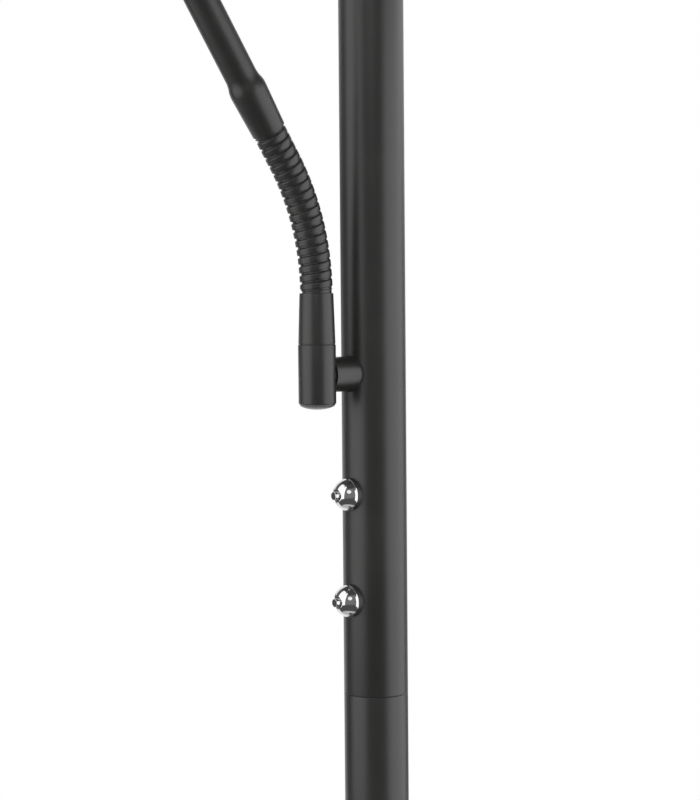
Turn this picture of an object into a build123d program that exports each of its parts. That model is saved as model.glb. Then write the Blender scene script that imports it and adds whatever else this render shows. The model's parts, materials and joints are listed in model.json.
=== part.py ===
from build123d import *
import math
import os

# Floor lamp with a fixed uplighter on a jointed pole and a smaller reading light on a gooseneck arm.
# Millimetres, +Z up. The origin is the centre of the base's underside, and the arm points to -Y.

# Clearances
fit_gap = 0.05
running_gap = 0.3

# Base
base_diameter = 260.0
base_height = 18.0
base_edge_radius = 5.0
cover_wall = 1.2
cover_lift = 1.2
pad_thickness = 2.0
pad_inset = 4.0
weight_side_gap = 0.3
stud_diameter = 10.0
stud_bore = 7.0
stud_end = 0.6
base_washer_diameter = 30.0
base_washer_thickness = 2.0
base_nut_flats = 17.0
base_nut_height = 6.0
nut_recess_margin = 5.0
gland_diameter = 8.0
gland_bore = 6.4
gland_flange_diameter = 10.5
gland_flange_thickness = 1.5
gland_depth = 8.0
channel_margin = 2.0
foot_collar_width = 7.0
foot_collar_height = 9.0
foot_collar_edge = 3.0
foot_plug_length = 22.0
stud_short_of_plug = 2.0

# Pole
pole_diameter = 28.0
pole_wall = 1.2
section_length = 432.0
section_count = 4
arm_section = 2
section_edge = 0.35
joiner_length = 50.0
joiner_wall = 3.6
wiring_diameter = 4.8
wiring_end_gap = 3.0

# Push switches, measured from the seam under the arm's section
switch_rises = {"lower": 41.5, "upper": 87.7}
switch_body_width = 12.0
switch_body_height = 16.0
switch_body_back = 2.0
switch_neck_diameter = 10.0
switch_neck_reach = 3.4
saddle_crown = 0.85
dome_diameter = 14.1
dome_rim = 0.6
dome_height = 5.7
dome_nose_diameter = 5.3
button_diameter = 3.66
button_hole_gap = 0.3
button_proud = 1.8
button_travel = 1.6
button_tip_edge = 0.35
button_flange_diameter = 5.8
button_flange_thickness = 1.2
button_tail_diameter = 2.8
button_tail_length = 1.0
button_stop_gap = 1.7
spring_wire = 0.5
spring_turns = 4

# Stub and connector that carry the arm
stub_rise = 139.8
stub_diameter = 15.0
gasket_diameter = 16.4
gasket_thickness = 0.8
bolt_diameter = 8.0
bolt_bore = 5.5
bolt_end = 1.0
saddle_washer_diameter = 14.0
saddle_washer_edge = 0.4
stub_nut_flats = 13.0
stub_nut_height = 4.5
connector_offset = 31.2
connector_diameter = 16.0
connector_length = 25.4
connector_lift = 0.5
connector_edge = 0.25
cap_diameter = 15.0
cap_dome = 1.8
cap_plug_length = 4.0
nipple_diameter = 10.0
nipple_bore = 7.0
nipple_in_connector = 8.0
nipple_in_ferrule = 6.4
neck_washer_diameter = 14.4
neck_washer_thickness = 0.5

# Gooseneck and its ferrules
lower_ferrule_length = 20.7
upper_ferrule_length = 20.0
ferrule_wide_diameter = 15.75
ferrule_narrow_diameter = 14.4
shoulder_length = 4.0
shoulder_bulge = 0.1
rib_pitch = 3.845
lower_rib_count = 6
middle_rib_count = 7
upper_rib_count = 6
rib_crest_diameter = 13.8
rib_groove_diameter = 12.6
rib_flank = 0.25
rib_crest_width = 2.75
neck_bore = 8.0
neck_lean = 32.9
neck_arc_length = 58.6

# Arm tube and the knuckle at its end
arm_tube_diameter = 13.4
arm_tube_wall = 1.0
arm_tube_length = 340.0
tube_socket_depth = 6.0
end_plug_length = 12.0
end_plug_flange = 1.2
spigot_diameter = 8.0
spigot_length = 11.0
spigot_groove_depth = 1.0
grub_screw_diameter = 3.0
grub_screw_sink = 0.4
fork_diameter = 15.5
fork_collar_length = 13.0
fork_rise = 12.0
fork_width = 14.0
fork_slot = 5.0
fork_end_radius = 7.0
knuckle_screw_diameter = 4.0
knuckle_head_diameter = 8.0
knuckle_head_height = 2.6
friction_washer_diameter = 12.0
friction_washer_thickness = 0.35

# Reading light, measured forwards from the knuckle's pin
head_bend = 83.0
tongue_radius = 6.6
tongue_width = 11.0
bracket_boss_diameter = 18.0
bracket_boss_start = 9.5
bracket_stud_diameter = 6.0
bracket_stud_length = 16.0
housing_start = 15.0
housing_diameter = 56.0
housing_length = 68.0
housing_wall = 1.5
housing_rear_radius = 8.0
sink_start = 10.0
sink_core_diameter = 24.0
sink_fin_thickness = 1.6
sink_fin_pitch = 4.6
sink_fin_count = 5
head_board_diameter = 34.0
head_board_thickness = 1.6
lens_thickness = 2.4
bezel_lip = 3.0
bezel_spigot_length = 5.0
bezel_spigot_wall = 1.2
bezel_front = 3.0

# Uplighter
uplighter_plug_length = 22.0
uplighter_neck_height = 10.0
uplighter_neck_diameter = 60.0
uplighter_neck_rim = 1.5
uplighter_wire_bore = 12.0
uplighter_stub_diameter = 18.0
uplighter_stub_length = 8.0
dish_diameter = 270.0
dish_floor_diameter = 68.0
dish_wall = 1.2
dish_height = 44.0
dish_lip = 5.0
diffuser_thickness = 2.5
spacer_flats = 26.0
spacer_height = 22.0
led_plate_diameter = 200.0
led_plate_thickness = 2.4
driver_length = 50.0
driver_width = 32.0
driver_height = 11.0
driver_offset = 58.0

# Sizes and heights that follow from the values above
pole_radius = pole_diameter / 2
pole_inner_radius = pole_radius - pole_wall
insert_radius = pole_inner_radius - fit_gap
joiner_bore_radius = insert_radius - joiner_wall
pole_top = base_height + section_count * section_length
arm_seam = base_height + arm_section * section_length
stub_height = arm_seam + stub_rise
connector_low = stub_height + connector_lift - connector_length / 2
connector_top = connector_low + connector_length
ferrule_base = connector_top + neck_washer_thickness
neck_start = ferrule_base + lower_ferrule_length
rib_counts = {"lower": lower_rib_count, "middle": middle_rib_count, "upper": upper_rib_count}
neck_length = rib_pitch * sum(rib_counts.values())
neck_tail_length = rib_crest_diameter
neck_tail_radius = rib_groove_diameter / 2 - fit_gap
arm_tube_radius = arm_tube_diameter / 2
arm_tube_start = upper_ferrule_length + shoulder_length - tube_socket_depth
arm_tube_end = arm_tube_start + arm_tube_length
fork_start = arm_tube_end + end_plug_flange + running_gap
fork_collar_top = fork_start + fork_collar_length
knuckle_height = fork_collar_top + fork_rise
grub_height = arm_tube_end + end_plug_flange + spigot_length / 2
housing_radius = housing_diameter / 2
housing_inner_radius = housing_radius - housing_wall
housing_end = housing_start + housing_length
dish_floor = pole_top + uplighter_neck_height
dish_top = dish_floor + dish_height
reach = base_diameter


# Shapes
def disc(radius, low, high):
    return Pos(0, 0, low) * Cylinder(radius, high - low, align=(Align.CENTER, Align.CENTER, Align.MIN))


def ring(outer, inner, low, high):
    return disc(outer, low, high) - disc(inner, low, high)


def turned(*edges):
    return revolve(Plane.XZ * make_face(edges), Axis.Z)


def hexagon(flats, low, high):
    outline = RegularPolygon(flats / 2, 6, major_radius=False)
    return Pos(0, 0, low) * extrude(outline, high - low)


def slab(width, depth, low, high):
    return Pos(0, 0, low) * Box(width, depth, high - low, align=(Align.CENTER, Align.CENTER, Align.MIN))


def cross_bar(radius, length=reach):
    return Rot(0, 90, 0) * Cylinder(radius, length)


# A frame on the pole's front: its Z points away from the pole's axis, and the pole runs along its Y
def on_front(height):
    return Pos(0, 0, height) * Rot(90, 0, 0)


def pole_core(radius):
    return Rot(90, 0, 0) * Cylinder(radius, reach)


# Base
def base_parts():
    radius = base_diameter / 2
    inner_radius = radius - cover_wall
    weight_radius = inner_radius - weight_side_gap
    cover_inside = base_height - cover_wall
    stud_radius = stud_diameter / 2
    stud_hole = stud_radius + fit_gap
    recess_radius = base_washer_diameter / 2 + nut_recess_margin
    recess_top = pad_thickness + stud_end + base_nut_height + base_washer_thickness
    nut_top = recess_top - base_washer_thickness
    gland_height = cover_lift + (gland_flange_diameter + channel_margin) / 2
    channel_width = gland_diameter + channel_margin

    pad = disc(radius - pad_inset, 0, pad_thickness)

    weight = disc(weight_radius, pad_thickness, cover_inside)
    weight = chamfer(weight.edges().group_by(Axis.Z)[-1], base_edge_radius)
    weight -= disc(stud_hole, pad_thickness, cover_inside)
    weight -= disc(recess_radius, pad_thickness, recess_top)
    channel_top = gland_height + channel_width / 2
    channel = slab(channel_width, radius, pad_thickness, channel_top)
    weight -= Pos(0, radius / 2, 0) * channel

    cover = disc(radius, cover_lift, base_height)
    cover = fillet(cover.edges().group_by(Axis.Z)[-1], base_edge_radius)
    hollow = disc(inner_radius, cover_lift, cover_inside)
    hollow = fillet(hollow.edges().group_by(Axis.Z)[-1], base_edge_radius - cover_wall)
    cover -= hollow
    cover -= disc(stud_hole, cover_inside, base_height)
    gland_axis = Pos(0, 0, gland_height) * Rot(-90, 0, 0)
    cover -= gland_axis * disc(gland_diameter / 2 + fit_gap, radius / 2, reach)

    flange_end = radius + gland_flange_thickness
    gland = disc(gland_flange_diameter / 2, inner_radius, flange_end)
    gland -= Rot(90, 0, 0) * Cylinder(radius, reach)
    gland += disc(gland_diameter / 2, radius - gland_depth, flange_end)
    gland -= disc(gland_bore / 2, 0, reach)

    stud = ring(
        stud_radius,
        stud_bore / 2,
        pad_thickness + stud_end / 2,
        base_height + foot_plug_length - stud_short_of_plug,
    )
    washer = ring(base_washer_diameter / 2, stud_hole, nut_top, recess_top)
    nut = hexagon(base_nut_flats, nut_top - base_nut_height, nut_top)
    nut -= disc(stud_hole, 0, base_height)

    collar_radius = pole_radius + foot_collar_width
    collar = disc(collar_radius, base_height, base_height + foot_collar_height)
    collar = fillet(collar.edges().group_by(Axis.Z)[-1], foot_collar_edge)
    collar -= disc(pole_radius + fit_gap, base_height, base_height + foot_collar_height)
    plug = ring(insert_radius, stud_hole, base_height, base_height + foot_plug_length)
    return {
        "base_pad": pad,
        "base_weight": weight,
        "base_cover": cover,
        "cord_gland": gland_axis * gland,
        "base_stud": stud,
        "base_washer": washer,
        "base_nut": nut,
        "foot_collar": collar,
        "pole_foot_plug": plug,
    }


# Pole sections, the joiners inside their seams and the wiring up the middle
def pole_parts():
    parts = {}
    for index in range(section_count):
        low = base_height + index * section_length
        tube = disc(pole_radius, low, low + section_length)
        ends = tube.edges().filter_by(GeomType.CIRCLE)
        tube = chamfer(ends, section_edge) - disc(pole_inner_radius, low, low + section_length)
        if index == arm_section:
            tube -= on_front(stub_height) * disc(bolt_diameter / 2 + fit_gap, 0, reach)
            for rise in switch_rises.values():
                tube -= on_front(arm_seam + rise) * disc(switch_neck_diameter / 2 + fit_gap, 0, reach)
        parts[f"pole_tube_{index + 1}"] = tube
        if index > 0:
            half = joiner_length / 2
            parts[f"pole_joiner_{index}"] = ring(insert_radius, joiner_bore_radius, low - half, low + half)
    wiring_radius = wiring_diameter / 2
    wiring_place = joiner_bore_radius - wiring_radius - running_gap
    wiring = disc(
        wiring_radius,
        base_height + foot_plug_length + wiring_end_gap,
        pole_top - uplighter_plug_length - wiring_end_gap,
    )
    parts["pole_wiring"] = Pos(0, wiring_place, 0) * wiring
    return parts


# One push switch, standing out along Z from the pole's axis
def switch_parts():
    dome_base = pole_radius + saddle_crown
    dome_radius = dome_diameter / 2
    nose_radius = dome_nose_diameter / 2
    dome_top = dome_base + dome_height
    neck_radius = switch_neck_diameter / 2
    neck_top = dome_base + switch_neck_reach
    flange_top = neck_top - 2 * fit_gap
    flange_low = flange_top - button_flange_thickness
    bore_floor = flange_low - button_tail_length - button_travel - button_stop_gap
    button_radius = button_diameter / 2
    hole_radius = button_radius + button_hole_gap
    shoulder = math.sqrt(pole_inner_radius**2 - (switch_body_width / 2) ** 2) - running_gap

    body = slab(switch_body_width, switch_body_height, -switch_body_back, shoulder)
    body += disc(neck_radius, 0, neck_top)
    body -= disc(button_flange_diameter / 2 + running_gap, bore_floor, neck_top)

    saddle = ring(dome_radius, neck_radius + fit_gap, 0, dome_base) - pole_core(pole_radius)

    rim_top = dome_base + dome_rim
    roof = neck_top + 2 * fit_gap
    thread_radius = neck_radius + fit_gap
    dome = turned(
        Polyline((thread_radius, dome_base), (dome_radius, dome_base), (dome_radius, rim_top)),
        TangentArc((dome_radius, rim_top), (nose_radius, dome_top), tangent=(0, 1)),
        Polyline(
            (nose_radius, dome_top),
            (hole_radius, dome_top),
            (hole_radius, roof),
            (thread_radius, roof),
            (thread_radius, dome_base),
        ),
    )

    button = disc(button_radius, flange_low, dome_top + button_proud)
    button = fillet(button.edges().group_by(Axis.Z)[-1], button_tip_edge)
    button += disc(button_flange_diameter / 2, flange_low, flange_top)
    button += disc(button_tail_diameter / 2, flange_low - button_tail_length, flange_low)

    wire_radius = spring_wire / 2
    spring_low = bore_floor + wire_radius + fit_gap
    spring_height = flange_low - wire_radius - fit_gap - spring_low
    spring_radius = (button_tail_diameter + button_flange_diameter) / 4
    coil = Helix(spring_height / spring_turns, spring_height, spring_radius, center=(0, 0, spring_low))
    spring = sweep(Plane(coil @ 0, z_dir=coil % 0) * Circle(wire_radius), coil, is_frenet=True)
    return {"body": body, "saddle": saddle, "dome": dome, "button": button, "spring": spring}


# Stub, its bolt and the connector, in the front frame at the stub's height
def stub_parts():
    bolt_radius = bolt_diameter / 2
    bolt_hole = disc(bolt_radius + fit_gap, 0, reach)
    gasket_radius = pole_radius + gasket_thickness
    connector_side = Pos(0, 0, connector_offset) * pole_core(connector_diameter / 2)
    washer_radius = saddle_washer_diameter / 2
    washer_flat = math.sqrt(pole_inner_radius**2 - washer_radius**2) - saddle_washer_edge
    nut_low = washer_flat - stub_nut_height

    gasket = disc(gasket_diameter / 2, 0, reach) & pole_core(gasket_radius)
    gasket -= pole_core(pole_radius)
    stub = disc(stub_diameter / 2, 0, connector_offset) - pole_core(gasket_radius) - connector_side
    washer = disc(washer_radius, washer_flat, pole_radius) & pole_core(pole_inner_radius)
    nut = hexagon(stub_nut_flats, nut_low, washer_flat)
    bolt_tip = connector_offset - nipple_diameter / 2 - fit_gap
    bolt = ring(bolt_radius, bolt_bore / 2, nut_low - bolt_end, bolt_tip)
    return {
        "stub_gasket": gasket - bolt_hole,
        "arm_stub": stub - bolt_hole,
        "stub_saddle_washer": washer - bolt_hole,
        "stub_nut": nut - bolt_hole,
        "stub_bolt": bolt,
    }


# Connector, cap, nipple and washer, round the connector's own axis
def connector_parts():
    bore = nipple_diameter / 2 + fit_gap
    body = disc(connector_diameter / 2, connector_low, connector_top)
    body = chamfer(body.edges().group_by(Axis.Z)[-1], connector_edge)
    body -= disc(bore, connector_low, connector_top)
    body -= Pos(0, 0, stub_height) * Rot(-90, 0, 0) * disc(bolt_diameter / 2 + fit_gap, 0, reach)

    cap_radius = cap_diameter / 2
    dome_side = (cap_radius * math.sqrt(0.5), connector_low - cap_dome * math.sqrt(0.5))
    plug_top = connector_low + cap_plug_length
    cap = turned(
        ThreePointArc((0, connector_low - cap_dome), dome_side, (cap_radius, connector_low)),
        Polyline(
            (cap_radius, connector_low),
            (bore - fit_gap, connector_low),
            (bore - fit_gap, plug_top),
            (0, plug_top),
            (0, connector_low - cap_dome),
        ),
    )
    nipple_low = connector_top - nipple_in_connector
    nipple = ring(nipple_diameter / 2, nipple_bore / 2, nipple_low, ferrule_base + nipple_in_ferrule)
    washer = ring(neck_washer_diameter / 2, bore, connector_top, ferrule_base)
    place = Pos(0, -connector_offset, 0)
    return {
        "arm_connector": place * body,
        "connector_cap": place * cap,
        "neck_nipple": place * nipple,
        "neck_washer": place * washer,
    }


# The gooseneck's centre line: an arc from the vertical to the lean, then straight, in the lamp's middle
# plane. Its frame stands on the lower ferrule's mouth.
neck_frame = Pos(0, -connector_offset, neck_start)


def neck_place(along):
    lean = math.radians(neck_lean)
    radius = neck_arc_length / lean
    angle = lean * min(max(along / neck_arc_length, 0), 1)
    straight = along - radius * angle
    y = -radius * (1 - math.cos(angle)) - straight * math.sin(angle)
    z = radius * math.sin(angle) + straight * math.cos(angle)
    return Pos(0, y, z) * Rot(math.degrees(angle), 0, 0)


def tube_along(stations):
    return loft([neck_place(along) * Circle(radius) for along, radius in stations], ruled=True)


def neck_section(start, ribs, tail_first=False, tail_last=False):
    crest = rib_crest_diameter / 2
    groove = rib_groove_diameter / 2
    stations = []
    for index in range(ribs):
        low = start + index * rib_pitch
        stations.append((low, groove))
        stations.append((low + rib_flank, crest))
        stations.append((low + rib_flank + rib_crest_width, crest))
        stations.append((low + 2 * rib_flank + rib_crest_width, groove))
    end = start + ribs * rib_pitch
    section = tube_along(stations + [(end, groove)])
    if tail_first:
        section += neck_place(start) * disc(neck_tail_radius, -neck_tail_length, 0)
    if tail_last:
        section += neck_place(end) * disc(neck_tail_radius, 0, neck_tail_length)
    steps = range(-4, ribs + 5)
    bore = tube_along([(start + index * rib_pitch, neck_bore / 2) for index in steps])
    return neck_frame * (section - bore)


# A ferrule's wall is a cone. Its narrow mouth takes the gooseneck's tail.
def lower_ferrule():
    wide = ferrule_wide_diameter / 2
    narrow = ferrule_narrow_diameter / 2
    length = lower_ferrule_length
    body = Cone(wide, narrow, length, align=(Align.CENTER, Align.CENTER, Align.MIN))
    body -= disc(nipple_diameter / 2 + fit_gap, 0, nipple_in_ferrule + fit_gap)
    body -= disc(neck_tail_radius + fit_gap, length - neck_tail_length - fit_gap, length)
    body -= disc(nipple_bore / 2, 0, length)
    return Pos(0, -connector_offset, ferrule_base) * body


# Arm, along Z from the gooseneck's upper end
arm_frame = neck_frame * neck_place(neck_length)


def arm_parts():
    wide = ferrule_wide_diameter / 2
    narrow = ferrule_narrow_diameter / 2
    length = upper_ferrule_length
    end = length + shoulder_length
    small = arm_tube_radius + fit_gap
    bulge = (wide + small) / 2 + shoulder_bulge
    ferrule = turned(
        Polyline((0, end), (0, 0), (narrow, 0), (wide, length)),
        ThreePointArc((wide, length), (bulge, length + shoulder_length / 2), (small, end)),
        Line((small, end), (0, end)),
    )
    ferrule -= disc(neck_tail_radius + fit_gap, 0, neck_tail_length + fit_gap)
    ferrule -= disc(nipple_bore / 2, 0, end)
    ferrule -= disc(small, arm_tube_start, end)
    tube_bore = arm_tube_radius - arm_tube_wall
    tube = ring(arm_tube_radius, tube_bore, arm_tube_start, arm_tube_end)

    flange_top = arm_tube_end + end_plug_flange
    spigot_radius = spigot_diameter / 2
    groove_half = grub_screw_diameter / 2 + running_gap
    plug = disc(tube_bore - fit_gap, arm_tube_end - end_plug_length, arm_tube_end)
    plug += disc(arm_tube_radius, arm_tube_end, flange_top)
    plug += disc(spigot_radius, flange_top, flange_top + spigot_length)
    plug -= ring(
        spigot_radius,
        spigot_radius - spigot_groove_depth,
        grub_height - groove_half,
        grub_height + groove_half,
    )
    parts = {"upper_ferrule": ferrule, "arm_tube": tube, "arm_end_plug": plug}
    return {name: arm_frame * shape for name, shape in parts.items()}


# Fork that turns on the arm's spigot, with its retaining screw, pin screw and friction washers
def fork_parts():
    fork_radius = fork_diameter / 2
    screw_radius = knuckle_screw_diameter / 2
    grub_radius = grub_screw_diameter / 2
    slot_half = fork_slot / 2
    at_pin = Pos(0, 0, knuckle_height)

    cheeks = slab(fork_width, 2 * fork_end_radius, fork_collar_top, knuckle_height)
    cheeks += at_pin * cross_bar(fork_end_radius, fork_width)
    cheeks = cheeks & disc(fork_radius, fork_start, knuckle_height + fork_end_radius)
    cheeks -= slab(fork_slot, fork_diameter, fork_collar_top, knuckle_height + fork_end_radius)
    fork = disc(fork_radius, fork_start, fork_collar_top) + cheeks
    spigot_top = arm_tube_end + end_plug_flange + spigot_length
    fork -= disc(spigot_diameter / 2 + fit_gap, fork_start, spigot_top + running_gap)
    fork -= at_pin * cross_bar(screw_radius + fit_gap)
    grub_axis = Pos(0, 0, grub_height) * Rot(-90, 0, 0)
    fork -= grub_axis * disc(grub_radius + fit_gap, 0, reach)

    grub_tip = spigot_diameter / 2 - spigot_groove_depth + running_gap
    grub = grub_axis * disc(grub_radius, grub_tip, fork_radius - grub_screw_sink)
    head_low = fork_width / 2
    screw = disc(screw_radius, -head_low, head_low)
    screw += disc(knuckle_head_diameter / 2, head_low, head_low + knuckle_head_height)
    washer = ring(
        friction_washer_diameter / 2,
        screw_radius + fit_gap,
        slot_half - friction_washer_thickness,
        slot_half,
    )
    across = at_pin * Rot(0, 90, 0)
    washers = Compound([across * washer, across * Rot(180, 0, 0) * washer])
    parts = {
        "head_fork": fork,
        "fork_grub_screw": grub,
        "knuckle_screw": across * screw,
        "friction_washers": washers,
    }
    return {name: arm_frame * shape for name, shape in parts.items()}


# Reading light, along Z from the knuckle's pin to its lens
def head_parts():
    tongue_thickness = fork_slot - 2 * (friction_washer_thickness + fit_gap)
    boss_radius = bracket_boss_diameter / 2
    stud_radius = bracket_stud_diameter / 2
    bracket = cross_bar(tongue_radius, tongue_thickness)
    bracket += slab(tongue_thickness, tongue_width, 0, bracket_boss_start)
    bracket += disc(boss_radius, bracket_boss_start, housing_start)
    bracket += disc(stud_radius, bracket_boss_start, housing_start + bracket_stud_length)
    bracket -= cross_bar(knuckle_screw_diameter / 2 + fit_gap)

    housing = disc(housing_radius, housing_start, housing_end)
    housing = fillet(housing.edges().group_by(Axis.Z)[0], housing_rear_radius)
    hollow = disc(housing_inner_radius, housing_start + housing_wall, housing_end)
    hollow = fillet(hollow.edges().group_by(Axis.Z)[0], housing_rear_radius - housing_wall)
    housing -= hollow
    housing -= disc(stud_radius + fit_gap, 0, housing_end)

    fin_low = housing_start + sink_start
    fin_radius = housing_inner_radius - fit_gap
    sink_front = fin_low + (sink_fin_count - 1) * sink_fin_pitch + sink_fin_thickness
    sink = disc(sink_core_diameter / 2, housing_start + housing_wall, sink_front)
    for index in range(sink_fin_count):
        low = fin_low + index * sink_fin_pitch
        sink += disc(fin_radius, low, low + sink_fin_thickness)
    sink -= disc(stud_radius + fit_gap, 0, housing_start + bracket_stud_length + fit_gap)
    board = disc(head_board_diameter / 2, sink_front, sink_front + head_board_thickness)

    spigot_radius = housing_inner_radius - fit_gap
    spigot_low = housing_end - bezel_spigot_length
    bezel = disc(housing_radius, housing_end, housing_end + bezel_front)
    bezel += disc(spigot_radius, spigot_low, housing_end)
    bezel -= disc(spigot_radius - bezel_spigot_wall - bezel_lip, 0, reach)
    lens_radius = spigot_radius - bezel_spigot_wall
    bezel -= disc(lens_radius, spigot_low, spigot_low + lens_thickness)
    lens = disc(lens_radius - fit_gap, spigot_low, spigot_low + lens_thickness)
    parts = {
        "head_bracket": bracket,
        "head_housing": housing,
        "head_heat_sink": sink,
        "head_led_board": board,
        "head_lens": lens,
        "head_bezel": bezel,
    }
    head_frame = arm_frame * Pos(0, 0, knuckle_height) * Rot(head_bend, 0, 0)
    return {name: head_frame * shape for name, shape in parts.items()}


# Uplighter: a shallow dish, level at its floor and rising on one arc to an upright lip
def uplighter_parts():
    floor_radius = dish_floor_diameter / 2
    rim_radius = dish_diameter / 2
    lip_low = dish_top - dish_lip
    run = rim_radius - floor_radius
    rise = lip_low - dish_floor
    arc_radius = (run**2 + rise**2) / (2 * rise)
    arc_centre = dish_floor + arc_radius

    def bowl_edge(radius, inset):
        return arc_centre - math.sqrt((arc_radius - inset) ** 2 - (radius - floor_radius) ** 2)

    inner_rim = rim_radius - dish_wall
    inner_floor = dish_floor + dish_wall
    halfway = (floor_radius + rim_radius) / 2
    bore = uplighter_wire_bore / 2
    stub_radius = uplighter_stub_diameter / 2
    outer_arc = ThreePointArc(
        (floor_radius, dish_floor), (halfway, bowl_edge(halfway, 0)), (rim_radius, lip_low)
    )
    inner_end = (inner_rim, bowl_edge(inner_rim, dish_wall))
    inner_arc = ThreePointArc(
        inner_end, (halfway, bowl_edge(halfway, dish_wall)), (floor_radius, inner_floor)
    )
    hole = stub_radius + fit_gap
    dish = turned(
        Line((hole, dish_floor), (floor_radius, dish_floor)),
        outer_arc,
        Polyline((rim_radius, lip_low), (rim_radius, dish_top), (inner_rim, dish_top), inner_end),
        inner_arc,
        Polyline((floor_radius, inner_floor), (hole, inner_floor), (hole, dish_floor)),
    )

    flare = uplighter_neck_diameter / 2
    rim_low = dish_floor - uplighter_neck_rim
    flare_curve = EllipticalCenterArc(
        (flare, pole_top), flare - pole_radius, rim_low - pole_top, start_angle=90, arc_size=90
    )
    neck = turned(
        Polyline((flare, rim_low), (flare, dish_floor), (bore, dish_floor), (bore, pole_top)),
        Line((bore, pole_top), (pole_radius, pole_top)),
        flare_curve,
    )
    neck += ring(insert_radius, bore, pole_top - uplighter_plug_length, pole_top)
    neck += ring(stub_radius, bore, dish_floor, dish_floor + uplighter_stub_length)

    spacer_top = inner_floor + spacer_height
    spacer = hexagon(spacer_flats, inner_floor, spacer_top)
    spacer -= disc(stub_radius + fit_gap, 0, dish_floor + uplighter_stub_length + fit_gap)
    spacer -= disc(bore, 0, dish_top)
    plate = ring(led_plate_diameter / 2, bore, spacer_top, spacer_top + led_plate_thickness)
    driver = slab(driver_length, driver_width, spacer_top - driver_height, spacer_top)
    diffuser_low = inner_end[1] + fit_gap
    diffuser = disc(inner_rim - running_gap, diffuser_low, diffuser_low + diffuser_thickness)
    return {
        "uplighter_neck": neck,
        "uplighter_dish": dish,
        "uplighter_spacer": spacer,
        "uplighter_led_plate": plate,
        "uplighter_driver": Pos(0, driver_offset, 0) * driver,
        "uplighter_diffuser": diffuser,
    }


# Everything, one file for each piece
pieces = base_parts() | pole_parts() | connector_parts() | arm_parts() | fork_parts() | head_parts()
pieces |= uplighter_parts()
pieces |= {name: on_front(stub_height) * shape for name, shape in stub_parts().items()}
for level, rise in switch_rises.items():
    for name, shape in switch_parts().items():
        pieces[f"{level}_switch_{name}"] = on_front(arm_seam + rise) * shape
pieces["lower_ferrule"] = lower_ferrule()
section_start = 0
for name, ribs in rib_counts.items():
    tails = {"tail_first": name == "lower", "tail_last": name == "upper"}
    pieces[f"gooseneck_{name}"] = neck_section(section_start, ribs, **tails)
    section_start += ribs * rib_pitch

os.makedirs("parts", exist_ok=True)
for name, shape in pieces.items():
    export_step(shape, f"parts/{name}.step")
print(f"{len(pieces)} pieces, {dish_top:.1f} mm tall, gooseneck {neck_length:.1f} mm long")
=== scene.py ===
import json
import math

import bmesh
import bpy
from mathutils import Matrix, Vector


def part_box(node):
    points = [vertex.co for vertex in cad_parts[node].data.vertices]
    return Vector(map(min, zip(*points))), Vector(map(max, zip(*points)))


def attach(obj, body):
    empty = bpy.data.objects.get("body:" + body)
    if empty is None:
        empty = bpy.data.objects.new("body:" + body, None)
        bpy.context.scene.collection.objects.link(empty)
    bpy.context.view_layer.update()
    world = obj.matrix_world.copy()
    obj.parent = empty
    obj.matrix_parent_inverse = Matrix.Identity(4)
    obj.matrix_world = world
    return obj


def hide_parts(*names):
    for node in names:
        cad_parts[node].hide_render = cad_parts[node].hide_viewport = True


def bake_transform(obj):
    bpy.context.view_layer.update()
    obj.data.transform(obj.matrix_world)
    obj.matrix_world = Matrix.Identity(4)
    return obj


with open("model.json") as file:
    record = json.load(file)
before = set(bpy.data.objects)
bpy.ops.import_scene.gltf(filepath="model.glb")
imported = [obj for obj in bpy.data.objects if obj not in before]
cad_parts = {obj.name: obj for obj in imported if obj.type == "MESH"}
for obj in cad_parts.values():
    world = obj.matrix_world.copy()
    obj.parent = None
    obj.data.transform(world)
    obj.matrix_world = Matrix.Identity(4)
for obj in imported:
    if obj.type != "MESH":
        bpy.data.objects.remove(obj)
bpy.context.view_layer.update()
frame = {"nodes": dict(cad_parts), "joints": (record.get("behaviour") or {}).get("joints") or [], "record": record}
record = frame["record"]
mm = 0.001
quarterTurn = math.radians(90)
bodyOf = {node: body for body, nodes in record["behaviour"]["bodies"].items() for node in nodes}
slotOf = {part["node"]: part["material_slot"] for part in record["subparts"]}
jointNamed = {joint["name"]: joint for joint in frame["joints"]}
print("frame loaded:", len(frame["nodes"]), "nodes")


# Node trees
class Wire:  # a socket with arithmetic, each step a Math node
    def __init__(self, tree, socket):
        self.tree = tree
        self.socket = socket

    def reckon(self, operation, first, second):
        made = self.tree.nodes.new("ShaderNodeMath")
        made.operation = operation
        plug(self.tree, made.inputs[0], first)
        plug(self.tree, made.inputs[1], second)
        return Wire(self.tree, made.outputs[0])

    def __add__(self, other):
        return self.reckon("ADD", self, other)

    def __radd__(self, other):
        return self.reckon("ADD", other, self)

    def __sub__(self, other):
        return self.reckon("SUBTRACT", self, other)

    def __rsub__(self, other):
        return self.reckon("SUBTRACT", other, self)

    def __mul__(self, other):
        return self.reckon("MULTIPLY", self, other)

    def __rmul__(self, other):
        return self.reckon("MULTIPLY", other, self)


def plug(tree, socket, value):
    if isinstance(value, Wire):
        tree.links.new(value.socket, socket)
    else:
        socket.default_value = value


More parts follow.
